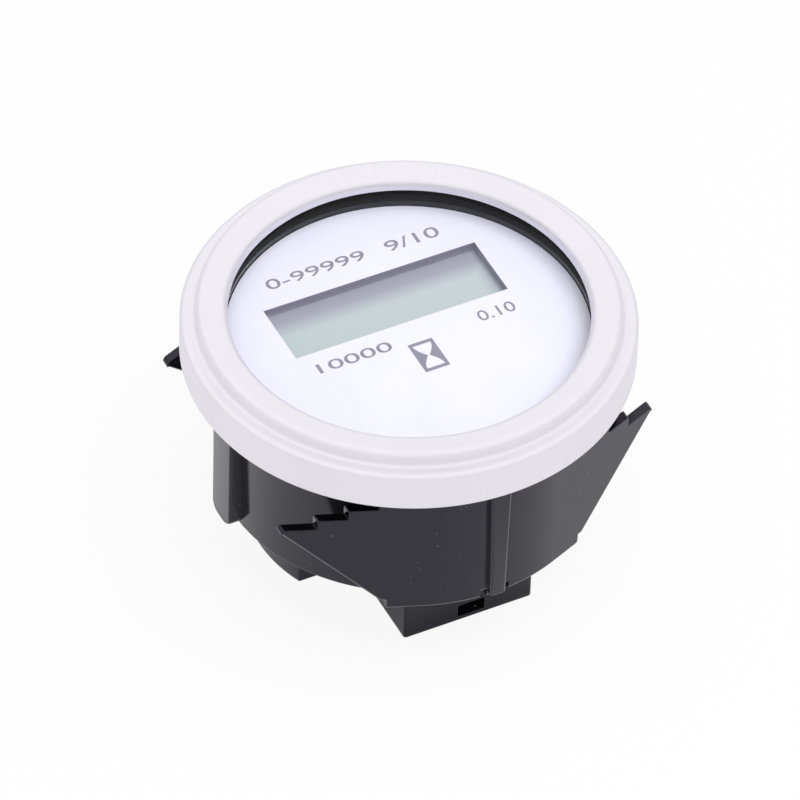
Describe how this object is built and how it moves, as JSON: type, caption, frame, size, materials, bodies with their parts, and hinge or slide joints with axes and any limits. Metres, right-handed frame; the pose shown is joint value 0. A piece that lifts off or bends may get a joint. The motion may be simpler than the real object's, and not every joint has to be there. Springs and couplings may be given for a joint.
{
  "type": "hour meter",
  "caption": "Round snap-in panel hour meter with a silver bezel, clear lens, liquid crystal display window, stepped snap wings and a rear socket with blade terminals.",
  "frame": {"origin": "centre of the bezel's rear face, in the plane of the panel", "axes": "+Z out of the dial towards the viewer, +X along the display to the right, +Y to 12 o'clock"},
  "size_m": [0.057, 0.057, 0.0385],
  "materials": {
    "case_plastic": "satin, finely grained",
    "bezel_metal": "satin",
    "lens_clear": "clear, polished",
    "gasket_rubber": "matte",
    "dial_white": "matte white with grey legend",
    "carrier_plastic": "matte",
    "polariser_film": "satin",
    "display_glass": "clear",
    "reflector_foil": "matte",
    "contact_rubber": "matte",
    "board_laminate": "green solder resist",
    "chip_epoxy": "moulded",
    "ceramic": "fired",
    "crystal_can": "plated",
    "capacitor_can": "sleeved",
    "absorber_coat": "dipped",
    "blade_metal": "tinned",
    "screw_steel": "zinc plated"
  },
  "bodies": {
    "root": {"case": "case_plastic", "bezel": "bezel_metal", "lens": "lens_clear", "lens_gasket": "gasket_rubber", "dial_plate": "dial_white", "display_carrier": "carrier_plastic", "front_polariser": "polariser_film", "front_glass": "display_glass", "rear_glass": "display_glass", "reflector": "reflector_foil", "upper_contact_strip": "contact_rubber", "lower_contact_strip": "contact_rubber", "circuit_board": "board_laminate", "microcontroller": "chip_epoxy", "memory_chip": "chip_epoxy", "timing_crystal": "crystal_can", "smoothing_capacitor": "capacitor_can", "surge_absorber": "absorber_coat", "rectifier_diodes": "chip_epoxy", "voltage_regulator": "chip_epoxy", "chip_resistors": "chip_epoxy", "ceramic_capacitors": "ceramic", "left_terminal": "blade_metal", "right_terminal": "blade_metal", "carrier_screws": "screw_steel"}
  },
  "joints": []
}
